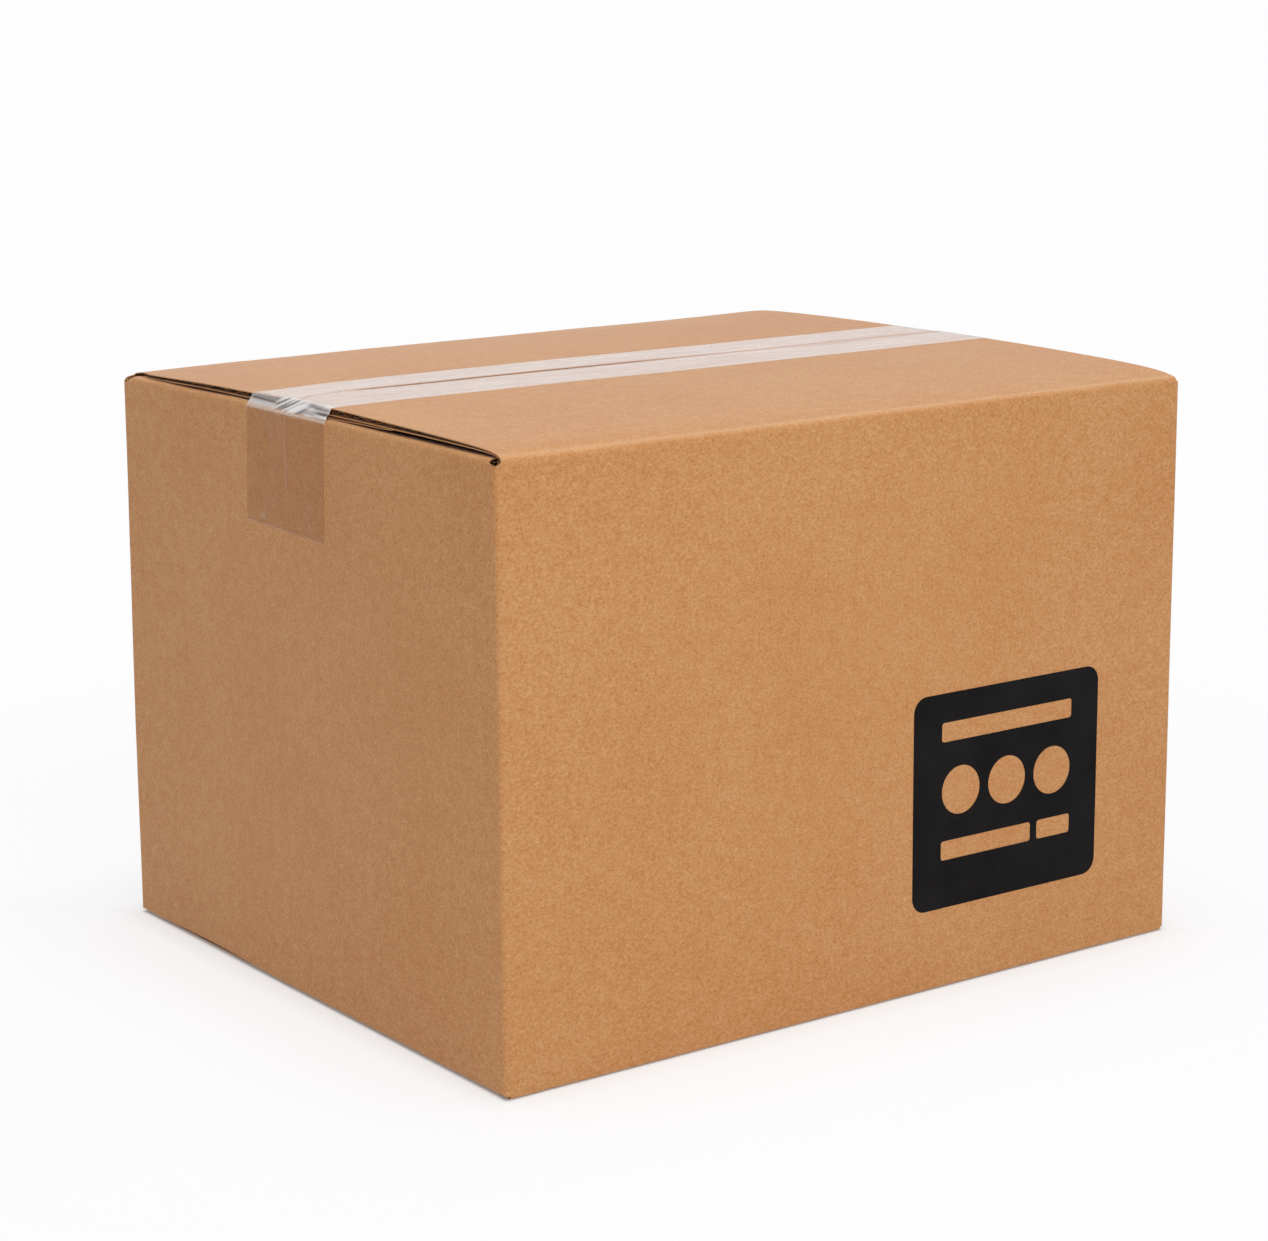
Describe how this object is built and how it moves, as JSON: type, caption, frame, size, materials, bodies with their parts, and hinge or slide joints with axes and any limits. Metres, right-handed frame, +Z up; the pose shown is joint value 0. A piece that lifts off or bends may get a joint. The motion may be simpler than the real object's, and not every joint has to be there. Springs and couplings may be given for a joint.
{
  "type": "cardboard box",
  "caption": "Closed rectangular carton of corrugated board with rolled folds, open flutes at its flap ends and clear tape along the top seam.",
  "frame": {"origin": "centre of the footprint, on the surface that the carton stands on", "axes": "+X along the long walls and the taped seam, +Y from the front long wall to the back one, +Z up"},
  "size_m": [0.2802, 0.24, 0.2017],
  "materials": {
    "kraft_board": "matte",
    "clear_tape": "glossy",
    "glue": "satin"
  },
  "bodies": {
    "root": {"carton": "kraft_board", "joint_glue": "glue", "bottom_glue": "glue", "top_tape": "clear_tape"}
  },
  "joints": []
}
